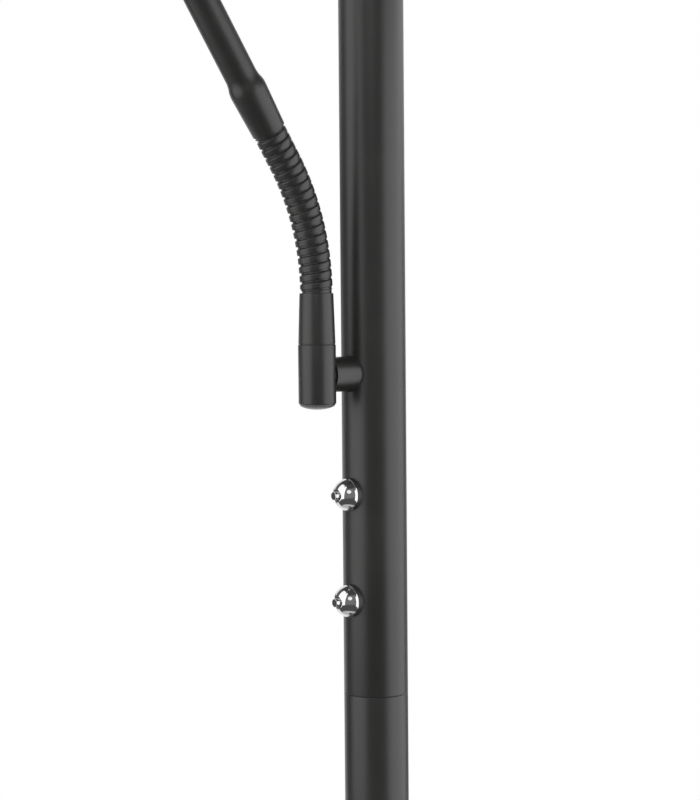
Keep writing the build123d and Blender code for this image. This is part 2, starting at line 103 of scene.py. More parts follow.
class Graph:
    def __init__(self, owner):
        owner.use_nodes = True
        self.owner = owner
        self.tree = owner.node_tree

    def node(self, kind, settings=None, inputs=None, output=0):
        made = self.tree.nodes.new("ShaderNode" + kind)
        for key, value in (settings or {}).items():
            setattr(made, key, value)
        self.feed(made, inputs or {})
        return Wire(self.tree, made.outputs[output])

    def feed(self, made, inputs):
        for key, value in inputs.items():
            plug(self.tree, made.inputs[key], value)

    def surface(self, inputs):
        self.feed(self.tree.nodes["Principled BSDF"], inputs)

    def objectPlace(self):
        return self.node("TexCoord", output="Object")

    def noise(self, place, scale, detail=2.0):
        return self.node("TexNoise", inputs={"Vector": place, "Scale": scale, "Detail": detail})

    def blend(self, factor, first, second):
        return self.node("Mix", {"data_type": "RGBA"}, {0: factor, 6: first, 7: second}, output=2)

    def band(self, value, low, high):  # 0 up to low, 1 from high on
        return self.node(
            "MapRange",
            {"interpolation_type": "SMOOTHSTEP"},
            {"Value": value, "From Min": low, "From Max": high},
        )

    def bump(self, height, strength, distance):
        return self.node("Bump", inputs={"Height": height, "Strength": strength, "Distance": distance})

    def along(self, vector, way):  # how far the vector goes that way
        return self.node("VectorMath", {"operation": "DOT_PRODUCT"}, {0: vector, 1: way}, output="Value")

    def length(self, vector):
        return self.node("VectorMath", {"operation": "LENGTH"}, {0: vector}, output="Value")

    def ray(self, kind):
        return self.node("LightPath", output=f"Is {kind} Ray")


# Finishes
def grey(level, warmth=0.0):
    return (level, level, level * (1 - warmth), 1.0)


def swing(noise, share):  # noise lies about a half
    return (noise - 0.5) * share


powderSet = {
    "dark": grey(0.016, 0.06),
    "pale": grey(0.021, 0.06),
    "cloudScale": 38.0,
    "cloudDetail": 3.0,
    "cloudBand": (0.35, 0.7),
    "cloudShare": 0.05,
    "grainScale": 2400.0,
    "grainShare": 0.06,
    "grainDepth": 0.03 * mm,
    "bump": 0.22,
    "roughness": 0.37,
    "gloss": 0.75,
}
neckPaintSet = powderSet | {"roughness": 0.38, "bump": 0.15}


def powderCoat(name, settings):
    graph = Graph(bpy.data.materials.new(name))
    place = graph.objectPlace()
    clouds = graph.noise(place, settings["cloudScale"], settings["cloudDetail"])
    grain = graph.noise(place, settings["grainScale"])
    shade = graph.band(clouds, *settings["cloudBand"])
    rough = settings["roughness"] + swing(clouds, settings["cloudShare"])
    graph.surface(
        {
            "Base Color": graph.blend(shade, settings["dark"], settings["pale"]),
            "Roughness": rough + swing(grain, settings["grainShare"]),
            "Normal": graph.bump(grain, settings["bump"], settings["grainDepth"]),
            "Specular IOR Level": settings["gloss"],
        }
    )
    return graph.owner


chromeSet = {
    "bright": (0.74, 0.745, 0.74, 1),
    "dull": (0.69, 0.69, 0.68, 1),
    "smearScale": 160.0,
    "smearDetail": 3.0,
    "smearBand": (0.5, 0.8),
    "smearShare": 0.05,
    "scratchScale": 1500.0,
    "roughness": 0.035,
}


def chromePlate(name, settings):
    graph = Graph(bpy.data.materials.new(name))
    place = graph.objectPlace()
    smear = graph.noise(place, settings["smearScale"], settings["smearDetail"])
    scratch = graph.noise(place, settings["scratchScale"])
    haze = graph.band(smear, *settings["smearBand"])
    graph.surface(
        {
            "Base Color": graph.blend(haze, settings["bright"], settings["dull"]),
            "Metallic": 1.0,
            "Roughness": settings["roughness"] + smear * scratch * settings["smearShare"],
        }
    )
    return graph.owner


mouldedSet = {
    "cloudSize": 20,  # times the grain's
    "grainShare": 0.12,
    "grainDepth": 0.03 * mm,
    "bump": 0.25,
}
mouldedKinds = {
    "black_plastic": {"dark": grey(0.035), "pale": grey(0.045), "roughness": 0.42, "grain": 1800.0},
    "cap_grey": {"dark": grey(0.10), "pale": grey(0.13), "roughness": 0.28, "grain": 1500.0},
    "led_board": {"dark": grey(0.82), "pale": grey(0.88), "roughness": 0.45, "grain": 900.0},
    "wiring": {"dark": grey(0.62), "pale": grey(0.70), "roughness": 0.55, "grain": 700.0},
    "black_rubber": {"dark": grey(0.014), "pale": grey(0.022), "roughness": 0.78, "grain": 1200.0},
}


def moulded(name, kind):
    graph = Graph(bpy.data.materials.new(name))
    place = graph.objectPlace()
    grain = graph.noise(place, kind["grain"])
    clouds = graph.noise(place, kind["grain"] / mouldedSet["cloudSize"])
    graph.surface(
        {
            "Base Color": graph.blend(clouds, kind["dark"], kind["pale"]),
            "Roughness": kind["roughness"] + swing(grain, mouldedSet["grainShare"]),
            "Normal": graph.bump(grain, mouldedSet["bump"], mouldedSet["grainDepth"]),
        }
    )
    return graph.owner


metalSet = {
    "metallic": 0.9,
    "lineDetail": 4.0,
    "lineShare": 0.2,
    "lineDepth": 0.05 * mm,
    "bump": 0.15,
}
metalKinds = {  # stretch: lines to the metre along X, Y and Z
    "zinc_steel": {"dark": grey(0.50), "pale": grey(0.66), "roughness": 0.32, "stretch": (400, 400, 60)},
    "black_screw": {"dark": grey(0.03), "pale": grey(0.06), "roughness": 0.36, "stretch": (500, 500, 500)},
    "cast_weight": {"dark": grey(0.09), "pale": grey(0.16), "roughness": 0.62, "stretch": (220, 220, 220)},
    "aluminium": {"dark": grey(0.62), "pale": grey(0.76), "roughness": 0.34, "stretch": (80, 80, 1600)},
}


def bareMetal(name, kind):
    graph = Graph(bpy.data.materials.new(name))
    place = graph.node("Mapping", inputs={"Vector": graph.objectPlace(), "Scale": kind["stretch"]})
    lines = graph.noise(place, 1.0, metalSet["lineDetail"])
    graph.surface(
        {
            "Base Color": graph.blend(lines, kind["dark"], kind["pale"]),
            "Metallic": metalSet["metallic"],
            "Roughness": kind["roughness"] + swing(lines, metalSet["lineShare"]),
            "Normal": graph.bump(lines, metalSet["bump"], metalSet["lineDepth"]),
        }
    )
    return graph.owner


opalSet = {
    "pale": (0.86, 0.855, 0.83, 1),
    "milk": (0.90, 0.895, 0.875, 1),
    "milkScale": 22.0,
    "milkWeight": 0.25,  # share of the light that goes under the surface
    "milkDepth": (4 * mm, 4 * mm, 4 * mm),
    "grain": 1400.0,
    "grainShare": 0.08,
    "grainDepth": 0.02 * mm,
    "bump": 0.12,
    "roughness": 0.38,
}


def opalAcrylic(name, settings):
    graph = Graph(bpy.data.materials.new(name))
    place = graph.objectPlace()
    grain = graph.noise(place, settings["grain"])
    milk = graph.noise(place, settings["milkScale"])
    graph.surface(
        {
            "Base Color": graph.blend(milk, settings["pale"], settings["milk"]),
            "Roughness": settings["roughness"] + swing(grain, settings["grainShare"]),
            "Normal": graph.bump(grain, settings["bump"], settings["grainDepth"]),
            "Subsurface Weight": settings["milkWeight"],
            "Subsurface Radius": settings["milkDepth"],
        }
    )
    return graph.owner


finishes = {
    "black_coat": powderCoat("blackPowderCoat", powderSet),
    "black_gooseneck": powderCoat("gooseneckPaint", neckPaintSet),
    "chrome": chromePlate("chromePlate", chromeSet),
    "opal": opalAcrylic("opalAcrylic", opalSet),
}
for slot, kind in mouldedKinds.items():
    finishes[slot] = moulded(slot + "Finish", kind)
for slot, kind in metalKinds.items():
    finishes[slot] = bareMetal(slot + "Finish", kind)
for node, obj in frame["nodes"].items():
    obj.data.materials.clear()
    obj.data.materials.append(finishes[slotOf[node]])
print("finishes:", len(finishes))


# Shapes
shapeSet = {
    "steps": 96,  # round a small turned piece
    "cornerSteps": 6,
    "edgeSteps": 4,
    "crease": 35,  # degrees, sharper edges are drawn sharp
    "flat": math.radians(1),
    "merge": 0.0005 * mm,
    "nodeMerge": 0.002 * mm,
}


def turned(outline, place=Matrix(), steps=shapeSet["steps"]):
    # outline: a closed run of (radius, height) or (radius, height, corner rounding), spun about Z
    shape = bmesh.new()
    points = [shape.verts.new((point[0], 0, point[1])) for point in outline]
    for first, second in zip(points, points[1:] + points[:1]):
        if first.co.x > 0 or second.co.x > 0:
            shape.edges.new((first, second))
    for vertex, point in zip(points, outline):
        if len(point) > 2:
            bmesh.ops.bevel(
                shape,
                geom=[vertex],
                offset=point[2],
                affect="VERTICES",
                segments=shapeSet["cornerSteps"],
                profile=0.5,
                material=-1,
            )
    bmesh.ops.spin(
        shape,
        geom=shape.verts[:] + shape.edges[:],
        cent=(0, 0, 0),
        axis=(0, 0, 1),
        angle=math.tau,
        steps=steps,
        use_merge=True,
    )
    bmesh.ops.remove_doubles(shape, verts=shape.verts, dist=shapeSet["merge"])
    bmesh.ops.recalc_face_normals(shape, faces=shape.faces)
    shape.transform(place)
    return shape


def meshOf(name, shape):
    mesh = bpy.data.meshes.new(name)
    shape.to_mesh(mesh)
    shape.free()
    return mesh


def added(name, data):
    made = bpy.data.objects.new(name, data)
    bpy.context.scene.collection.objects.link(made)
    return made


def piece(name, shape, node, crease=shapeSet["crease"]):
    mesh = meshOf(name, shape)
    mesh.shade_smooth()
    mesh.set_sharp_from_angle(angle=math.radians(crease))
    mesh.materials.append(finishes[slotOf[node]])
    made = added(name, mesh)
    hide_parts(node)
    return made


def ridden(name, shape, node, crease=shapeSet["crease"]):
    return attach(piece(name, shape, node, crease), bodyOf[node])


def eased(name, node, rounding, crease=shapeSet["crease"]):
    # the node's own shape with its sharp edges rounded
    shape = bmesh.new()
    shape.from_mesh(frame["nodes"][node].data)
    bmesh.ops.remove_doubles(shape, verts=shape.verts, dist=shapeSet["nodeMerge"])
    bmesh.ops.dissolve_limit(shape, angle_limit=shapeSet["flat"], verts=shape.verts, edges=shape.edges)
    bmesh.ops.bevel(
        shape,
        geom=[edge for edge in shape.edges if edge.calc_face_angle(0) > math.radians(crease)],
        offset=rounding,
        affect="EDGES",
        segments=shapeSet["edgeSteps"],
        profile=0.5,
        material=-1,
        clamp_overlap=True,
    )
    bmesh.ops.triangulate(shape, faces=[face for face in shape.faces if len(face.verts) > 4])
    return ridden(name, shape, node, crease)


def quarter(centre, across, up, count):
    # a quarter ellipse from straight up to sideways
    turns = [math.pi / 2 * index / count for index in range(count + 1)]
    return [(centre[0] + across * math.sin(turn), centre[1] + up * math.cos(turn)) for turn in turns]


def standing(height):
    return Matrix.Translation((0, 0, height))


def onFront(height):
    # Z then points out of the pole's front
    return standing(height) @ Matrix.Rotation(quarterTurn, 4, "X")


def middleOf(node):
    low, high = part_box(node)
    return (low + high) / 2


def radiusOf(vertex):
    return math.hypot(vertex.co.x, vertex.co.y)


def setRadius(vertex, radius):
    share = radius / radiusOf(vertex)
    vertex.co.x *= share
    vertex.co.y *= share


# Pole
poleSet = {"wall": 1.2 * mm, "edge": 0.35 * mm, "sections": 4, "steps": 160}
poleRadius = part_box("pole_tube_1")[1].x


def poleSections():
    inner = poleRadius - poleSet["wall"]
    for number in range(1, poleSet["sections"] + 1):
        node = f"pole_tube_{number}"
        low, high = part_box(node)
        outline = [
            (inner, low.z),
            (poleRadius, low.z, poleSet["edge"]),
            (poleRadius, high.z, poleSet["edge"]),
            (inner, high.z),
        ]
        ridden(f"poleSection{number}", turned(outline, steps=poleSet["steps"]), node)


poleSections()
print("pole made")


# Base
baseSet = {
    "wall": 1.2 * mm,
    "edge": 5 * mm,
    "footEdge": 0.3 * mm,
    "hole": 8 * mm,
    "steps": 192,
    "collarEdge": 3 * mm,
    "collarFoot": 0.6 * mm,
    "collarLip": 0.3 * mm,
    "collarSteps": 128,
    "glandEdge": 0.5 * mm,
    "glandHole": 4.1 * mm,
    "glandReach": 20 * mm,
    "glandSteps": 64,
}


def baseCover():
    low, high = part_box("base_cover")
    inside = high.x - baseSet["wall"]
    roof = high.z - baseSet["wall"]
    outline = [
        (baseSet["hole"], high.z),
        (high.x, high.z, baseSet["edge"]),
        (high.x, low.z, baseSet["footEdge"]),
        (inside, low.z),
        (inside, roof, baseSet["edge"] - baseSet["wall"]),
        (baseSet["hole"], roof),
    ]
    return ridden("baseCover", turned(outline, steps=baseSet["steps"]), "base_cover")


def drillGlandHole(cover):
    # through the cover's wall, along Y
    shape = bmesh.new()
    bmesh.ops.create_cone(
        shape,
        cap_ends=True,
        segments=baseSet["glandSteps"],
        radius1=baseSet["glandHole"],
        radius2=baseSet["glandHole"],
        depth=baseSet["glandReach"],
        matrix=Matrix.Translation(middleOf("cord_gland")) @ Matrix.Rotation(quarterTurn, 4, "X"),
    )
    drill = added("drill", meshOf("drill", shape))
    hole = cover.modifiers.new("hole", "BOOLEAN")
    hole.object = drill
    hole.operation = "DIFFERENCE"
    solved = cover.evaluated_get(bpy.context.evaluated_depsgraph_get())
    cover.data = bpy.data.meshes.new_from_object(solved)
    cover.modifiers.clear()
    bpy.data.objects.remove(drill)


def footCollar():
    low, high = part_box("foot_collar")
    outline = [
        (poleRadius, low.z),
        (high.x, low.z, baseSet["collarFoot"]),
        (high.x, high.z, baseSet["collarEdge"]),
        (poleRadius, high.z, baseSet["collarLip"]),
    ]
    ridden("footCollar", turned(outline, steps=baseSet["collarSteps"]), "foot_collar")


drillGlandHole(baseCover())
footCollar()
eased("cordGland", "cord_gland", baseSet["glandEdge"])
print("base made")


# Push switches
switchSet = {
    "steps": 64,
    "crease": 30,
    "saddle": 1.2 * mm,
    "saddleBore": 5 * mm,
    "saddleRadius": 6.7 * mm,
    "flange": 7.05 * mm,
    "flangeThick": 0.6 * mm,
    "flangeEdge": 0.15 * mm,
    "flangeBack": 0.1 * mm,
    "ball": 7.18 * mm,  # the dome is part of a ball whose centre lies behind the flange
    "ballSink": 1.0 * mm,
    "ballSteps": 24,
    "nose": 2.65 * mm,
    "noseEdge": 0.2 * mm,
    "hole": 2.0 * mm,
    "holeEdge": 0.12 * mm,
    "button": 1.83 * mm,
    "buttonFoot": 0.8 * mm,  # clear of the pole when pressed
    "buttonTop": 7.8 * mm,
    "buttonCrown": 0.04 * mm,
    "crownSteps": 8,
    "buttonEdge": 0.4 * mm,
}


def switchSaddle(level, place):
    size = switchSet
    seat = poleRadius + size["saddle"]
    outline = [
        (size["saddleBore"], 0),
        (size["saddleRadius"], 0),
        (size["saddleRadius"], seat),
        (size["saddleBore"], seat),
    ]
    shape = turned(outline, steps=size["steps"])
    for vertex in shape.verts:  # its back lies on the round pole
        if vertex.co.z < seat / 2:
            vertex.co.z = math.sqrt(poleRadius**2 - vertex.co.x**2)
    shape.transform(place)
    ridden(f"{level}Saddle", shape, f"{level}_switch_saddle")


def domeNut(level, place):
    size = switchSet
    ball = size["ball"]
    foot = math.asin((size["ballSink"] + size["flangeThick"]) / ball)
    nose = math.acos(size["nose"] / ball)
    lifts = [nose + (foot - nose) * step / size["ballSteps"] for step in range(size["ballSteps"] + 1)]
    dome = [(ball * math.cos(lift), ball * math.sin(lift) - size["ballSink"]) for lift in lifts]
    noseTop = dome[0][1]
    outline = [
        (size["hole"], 0),
        (size["hole"], noseTop, size["holeEdge"]),
        (dome[0][0], noseTop, size["noseEdge"]),
        *dome[1:],
        (size["flange"], size["flangeThick"], size["flangeEdge"]),
        (size["flange"], 0, size["flangeBack"]),
    ]
    ridden(f"{level}DomeNut", turned(outline, place), f"{level}_switch_dome", size["crease"])


def pushButton(level, place):
    size = switchSet
    shoulder = size["buttonTop"] - size["buttonCrown"]
    shares = [step / size["crownSteps"] for step in range(size["crownSteps"])]
    crown = [(size["button"] * share, shoulder + size["buttonCrown"] * (1 - share**2)) for share in shares]
    outline = [
        (0, size["buttonFoot"]),
        (size["button"], size["buttonFoot"]),
        (size["button"], shoulder, size["buttonEdge"]),
        *crown[::-1],
    ]
    shape = turned(outline, place, size["steps"])
    ridden(f"{level}Button", shape, f"{level}_switch_button", size["crease"])


for level in ("upper", "lower"):
    front = onFront(middleOf(f"{level}_switch_dome").z)
    seated = front @ standing(poleRadius + switchSet["saddle"])
    switchSaddle(level, front)
    domeNut(level, seated)
    pushButton(level, seated)
print("switches made")


# Arm bracket: connector and cap, stub and gasket, washer
connectorSet = {
    "bore": 4.5 * mm,
    "edge": 0.15 * mm,
    "foot": 0.5 * mm,
    "steps": 128,
    "seamDrop": 0.3 * mm,
    "capRadius": 7.6 * mm,
    "capDrop": 0.4 * mm,
    "capSteps": 16,
    "washerRadius": 7.7 * mm,
    "washerEdge": 0.1 * mm,
}
connectorY = middleOf("arm_connector").y
connectorFrame = Matrix.Translation((0, connectorY, 0))


def connector():
    size = connectorSet
    low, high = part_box("arm_connector")
    seam = high.z - size["seamDrop"]
    outline = [
        (size["bore"], low.z),
        (high.x, low.z, size["foot"]),
        (high.x, seam, size["edge"]),
        (size["bore"], seam),
    ]
    ridden("armConnector", turned(outline, connectorFrame, size["steps"]), "arm_connector")
    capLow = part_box("connector_cap")[0].z - size["capDrop"]
    dome = quarter((0, low.z), size["capRadius"], capLow - low.z, size["capSteps"])
    ridden("connectorCap", turned(dome + [(0, low.z)], connectorFrame), "connector_cap")


stubSet = {
    "bore": 4 * mm,
    "reach": 5.4 * mm,  # from its flat shoulder to the connector's axis
    "slimReach": 4.5 * mm,
    "slimDepth": 0.9 * mm,
    "gasket": 0.8 * mm,
    "gasketEdge": 0.3 * mm,
    "gasketLip": 0.25 * mm,  # past the stub
}


def stub():
    size = stubSet
    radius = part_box("arm_stub")[1].x
    slim = radius - size["slimDepth"]
    shoulder = -connectorY - size["reach"]
    end = -connectorY - size["slimReach"]
    outline = [
        (size["bore"], 0),
        (radius, 0),
        (radius, shoulder),
        (slim, shoulder),
        (slim, end),
        (size["bore"], end),
    ]
    shape = turned(outline)
    for vertex in shape.verts:  # this end fits the gasket
        if vertex.co.z < shoulder / 2:
            vertex.co.z = math.sqrt((poleRadius + size["gasket"]) ** 2 - vertex.co.x**2)
    shape.transform(onFront(middleOf("arm_stub").z))
    ridden("armStub", shape, "arm_stub")


def stubGasket():
    size = stubSet
    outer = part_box("arm_stub")[1].x + size["gasketLip"]
    outline = [
        (size["bore"], 0),
        (outer, 0),
        (outer, size["gasket"], size["gasketEdge"]),
        (size["bore"], size["gasket"]),
    ]
    shape = turned(outline)
    for vertex in shape.verts:  # wrapped on the pole
        vertex.co.z = math.sqrt((poleRadius + vertex.co.z) ** 2 - vertex.co.x**2)
    shape.transform(onFront(middleOf("arm_stub").z))
    ridden("stubGasket", shape, "stub_gasket")


def neckWasher():
    size = connectorSet
    low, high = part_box("neck_washer")
    outline = [
        (size["bore"], low.z),
        (size["washerRadius"], low.z, size["washerEdge"]),
        (size["washerRadius"], high.z, size["washerEdge"]),
        (size["bore"], high.z),
    ]
    place = connectorFrame @ standing(-size["seamDrop"])
    ridden("neckWasher", turned(outline, place), "neck_washer")


connector()
stub()
stubGasket()
neckWasher()
print("arm bracket made")


# Gooseneck: a right-handed strip wound as one screw, bent along an arc and a straight end
neckSet = {
    "pitch": 3.89 * mm,
    "turns": 20,
    "spareTurns": 2,  # past each end, cut off later
    "phase": -0.635,
    "steps": 72,
    "radius": 6.9 * mm,
    "groove": 0.61 * mm,
    "grooveChange": 0.42,  # deeper on the inside of the bend, shallower on the outside
    "crease": 50,
    "sections": (("lower", 23.07 * mm), ("middle", 26.915 * mm), ("upper", 23.07 * mm)),
    "links": ("lamp_stand", "neck_link_lower", "neck_link_upper", "reading_arm"),
    "arc": 58.6 * mm,
    "lean": math.radians(32.9),
    "inside": 1.2 * mm,  # length in each ferrule
    "tails": (2.0 * mm, 1.5 * mm),
    "tailRadius": 6.5 * mm,
    "tailStep": 0.1 * mm,
    "tailNear": 0.01 * mm,
    "merge": 0.005 * mm,
    "cutNear": 0.0001 * mm,
}
stripOutline = [  # share of the pitch, share of the groove's depth: a round top and a sharp lower edge
    (0.00, 0.12),
    (0.04, 0.30),
    (0.08, 0.62),
    (0.10, 0.90),
    (0.12, 1.00),
    (0.31, 1.00),
    (0.33, 0.85),
    (0.35, 0.12),
    (0.37, 0.00),
    (0.88, 0.00),
    (0.95, 0.04),
    (1.00, 0.12),
]
neckFrame = Matrix.Translation((0, middleOf("lower_ferrule").y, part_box("lower_ferrule")[1].z))
neckLength = sum(length for name, length in neckSet["sections"])


def neckPlace(along):
    # the frame at that length up the bent neck, with Z along it
    radius = neckSet["arc"] / neckSet["lean"]
    angle = neckSet["lean"] * min(max(along / neckSet["arc"], 0), 1)
    straight = along - radius * angle
    y = -radius * (1 - math.cos(angle)) - straight * math.sin(angle)
    z = radius * math.sin(angle) + straight * math.cos(angle)
    return neckFrame @ Matrix.Translation((0, y, z)) @ Matrix.Rotation(angle, 4, "X")


def cutAcross(shape, height, normal=(0, 0, 1), trim=False):
    bmesh.ops.bisect_plane(
        shape,
        geom=shape.verts[:] + shape.edges[:] + shape.faces[:],
        dist=neckSet["cutNear"],
        plane_co=(0, 0, height),
        plane_no=normal,
        clear_outer=trim,
    )


def stripScrew():
    size = neckSet
    shape = bmesh.new()
    points = []
    for share, depth in stripOutline:
        height = (share + size["phase"] - size["spareTurns"]) * size["pitch"]
        points.append(shape.verts.new((size["radius"] - depth * size["groove"], 0, height)))
    for first, second in zip(points, points[1:]):
        shape.edges.new((first, second))
    bmesh.ops.spin(
        shape,
        geom=shape.verts[:] + shape.edges[:],
        cent=(0, 0, 0),
        axis=(0, 0, 1),
        dvec=(0, 0, size["pitch"] / size["steps"]),
        angle=math.tau,
        steps=size["steps"],
        use_merge=False,
    )
    oneTurn = shape.verts[:] + shape.edges[:] + shape.faces[:]
    for turn in range(1, size["turns"] + size["spareTurns"] + 1):
        copied = bmesh.ops.duplicate(shape, geom=oneTurn)["geom"]
        copiedVerts = [item for item in copied if isinstance(item, bmesh.types.BMVert)]
        bmesh.ops.translate(shape, verts=copiedVerts, vec=(0, 0, turn * size["pitch"]))
    bmesh.ops.remove_doubles(shape, verts=shape.verts, dist=size["merge"])
    for vertex in shape.verts:  # the neck leans to -Y
        radius = radiusOf(vertex)
        inward = -vertex.co.y / radius
        setRadius(vertex, radius - (size["radius"] - radius) * size["grooveChange"] * inward)
    return shape


def slimTails(shape):
    # both ends are cut a little slimmer than the winding, where they enter the ferrules
    size = neckSet
    low = size["tails"][0]
    high = neckLength - size["tails"][1]
    for height in (low, low + size["tailStep"], high - size["tailStep"], high):
        cutAcross(shape, height)
    for vertex in shape.verts:
        isTail = vertex.co.z < low + size["tailNear"] or vertex.co.z > high - size["tailNear"]
        if isTail and radiusOf(vertex) > size["tailRadius"]:
            setRadius(vertex, size["tailRadius"])


def stripStretch(screw, low, high):
    shape = screw.copy()
    cutAcross(shape, low, (0, 0, -1), trim=True)
    cutAcross(shape, high, (0, 0, 1), trim=True)
    bmesh.ops.holes_fill(shape, edges=[edge for edge in shape.edges if edge.is_boundary], sides=0)
    bmesh.ops.recalc_face_normals(shape, faces=shape.faces)
    for vertex in shape.verts:
        flat = Vector((vertex.co.x, vertex.co.y, 0))
        vertex.co = neckPlace(vertex.co.z) @ flat
    return shape


def gooseneck():
    size = neckSet
    screw = stripScrew()
    slimTails(screw)
    start = 0.0
    last = len(size["sections"]) - 1
    for index, (name, length) in enumerate(size["sections"]):
        end = start + length
        low = start - size["inside"] if index == 0 else start
        high = end + size["inside"] if index == last else end
        shape = stripStretch(screw, low, high)
        made = piece(f"gooseneck{name.title()}", shape, f"gooseneck_{name}", size["crease"])
        first = neckPlace(start).translation
        second = neckPlace(end).translation
        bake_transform(made)
        start = end
    screw.free()


gooseneck()
print("gooseneck made")


# Ferrules and arm tube, along Z from each end of the gooseneck
ferruleSet = {
    "length": 20.0 * mm,
    "wide": 7.87 * mm,
    "narrow": 7.17 * mm,
    "footEdge": 0.1 * mm,
    "mouth": 6.98 * mm,
    "mouthDepth": 3 * mm,
    "mouthEdge": 0.15 * mm,
    "lowerRise": 0.3 * mm,
    "shoulder": 4.0 * mm,
    "shoulderEdge": 1.6 * mm,
    "crease": 60,
    "steps": 128,
}
tubeSet = {"radius": 6.72 * mm, "bore": 5.5 * mm, "socket": 6 * mm, "length": 340 * mm, "edge": 0.3 * mm}
armFrame = neckPlace(neckLength)
shoulderTop = ferruleSet["length"] + ferruleSet["shoulder"]
tubeSeam = shoulderTop + 2 * ferruleSet["shoulderEdge"]
tubeEnd = shoulderTop - tubeSet["socket"] + tubeSet["length"]


def lowerFerrule():
    size = ferruleSet
    low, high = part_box("lower_ferrule")
    foot = low.z - high.z - connectorSet["seamDrop"]
    top = size["lowerRise"]
    outline = [
        (tubeSet["bore"], foot),
        (size["wide"], foot, size["footEdge"]),
        (size["narrow"], top, size["mouthEdge"]),
        (size["mouth"], top),
        (size["mouth"], top - size["mouthDepth"]),
        (tubeSet["bore"], top - size["mouthDepth"]),
    ]
    ridden("lowerFerrule", turned(outline, neckFrame, size["steps"]), "lower_ferrule")


def upperFerrule():
    size = ferruleSet
    outline = [
        (tubeSet["bore"], size["mouthDepth"]),
        (size["mouth"], size["mouthDepth"]),
        (size["mouth"], 0),
        (size["narrow"], 0, size["mouthEdge"]),
        (size["wide"], size["length"], size["shoulderEdge"]),
        (tubeSet["radius"], shoulderTop, size["shoulderEdge"]),
        (tubeSet["radius"], tubeSeam),
        (tubeSet["bore"], tubeSeam),
    ]
    shape = turned(outline, armFrame, size["steps"])
    ridden("upperFerrule", shape, "upper_ferrule", size["crease"])


def armTube():
    outline = [
        (tubeSet["bore"], tubeSeam),
        (tubeSet["radius"], tubeSeam),
        (tubeSet["radius"], tubeEnd, tubeSet["edge"]),
        (tubeSet["bore"], tubeEnd),
    ]
    ridden("armTube", turned(outline, armFrame, ferruleSet["steps"]), "arm_tube")


lowerFerrule()
upperFerrule()
armTube()
print("ferrules and arm tube made")


# Knuckle at the arm's end: plug, fork, pin screw and set screw
plugSet = {
    "radius": 5.4 * mm,
    "length": 12 * mm,
    "flange": 6.7 * mm,
    "flangeThick": 1.2 * mm,
    "flangeEdges": (0.2 * mm, 0.3 * mm),
    "spigot": 4 * mm,
    "spigotLength": 11 * mm,
    "spigotEdge": 0.4 * mm,
    "groove": 3 * mm,  # its radius, for the set screw
    "grooveHalf": 1.8 * mm,  # half its width
    "steps": 128,
}
forkSet = {"edge": 0.5 * mm, "crease": 20}


def armEndPlug():
    size = plugSet
    foot = tubeEnd - size["length"]
    flangeTop = tubeEnd + size["flangeThick"]
    spigotTop = flangeTop + size["spigotLength"]
    grooveMiddle = (flangeTop + spigotTop) / 2
    grooveLow = grooveMiddle - size["grooveHalf"]
    grooveHigh = grooveMiddle + size["grooveHalf"]
    outline = [
        (0, foot),
        (size["radius"], foot),
        (size["radius"], tubeEnd),
        (size["flange"], tubeEnd, size["flangeEdges"][0]),
        (size["flange"], flangeTop, size["flangeEdges"][1]),
        (size["spigot"], flangeTop),
        (size["spigot"], grooveLow),
        (size["groove"], grooveLow),
        (size["groove"], grooveHigh),
        (size["spigot"], grooveHigh),
        (size["spigot"], spigotTop, size["spigotEdge"]),
        (0, spigotTop),
    ]
    ridden("armEndPlug", turned(outline, armFrame, size["steps"]), "arm_end_plug")


screwSet = {
    "pin": 2 * mm,
    "pinEdge": 0.3 * mm,
    "grip": 7 * mm,  # half the fork's width
    "head": 4 * mm,
    "headTall": 2.6 * mm,
    "headEdges": (0.15 * mm, 0.7 * mm),
    "headSocket": (1.5 * mm, 1.6 * mm),  # half across its flats, depth
    "set": 1.5 * mm,
    "setLength": 4.05 * mm,
    "setEdges": (0.3 * mm, 0.2 * mm),
    "setSocket": (0.75 * mm, 1.2 * mm),
    "socketSides": 6,
    "near": 0.01 * mm,
}


def socketHead(outline, flats):
    # a turned screw whose round socket is opened to a hexagon
    shape = turned(outline)
    side = math.tau / screwSet["socketSides"]
    for vertex in shape.verts:
        radius = radiusOf(vertex)
        if abs(radius - flats) < screwSet["near"]:
            turn = math.atan2(vertex.co.y, vertex.co.x) % side - side / 2
            setRadius(vertex, radius / math.cos(turn))
    return shape


def knuckleTurn():
    # X along the pin, Z along the arm
    across = Vector(jointNamed["head_tilt"]["axis"])
    along = Vector(jointNamed["head_turn"]["axis"])
    return Matrix((across, along.cross(across), along)).transposed().to_4x4()


def pinScrew():
    size = screwSet
    flats, depth = size["headSocket"]
    top = size["grip"] + size["headTall"]
    outline = [
        (0, -size["grip"]),
        (size["pin"], -size["grip"], size["pinEdge"]),
        (size["pin"], size["grip"]),
        (size["head"], size["grip"], size["headEdges"][0]),
        (size["head"], top, size["headEdges"][1]),
        (flats, top),
        (flats, top - depth),
        (0, top - depth),
    ]
    shape = socketHead(outline, flats)
    place = Matrix.Translation(jointNamed["head_tilt"]["pos_m"]) @ knuckleTurn()
    shape.transform(place @ Matrix.Rotation(quarterTurn, 4, "Y"))
    ridden("knuckleScrew", shape, "knuckle_screw")


def setScrew():
    size = screwSet
    flats, depth = size["setSocket"]
    half = size["setLength"] / 2
    outline = [
        (0, -half),
        (size["set"], -half, size["setEdges"][0]),
        (size["set"], half, size["setEdges"][1]),
        (flats, half),
        (flats, half - depth),
        (0, half - depth),
    ]
    shape = socketHead(outline, flats)
    place = Matrix.Translation(middleOf("fork_grub_screw")) @ knuckleTurn()
    shape.transform(place @ Matrix.Rotation(-quarterTurn, 4, "X"))
    ridden("forkSetScrew", shape, "fork_grub_screw")


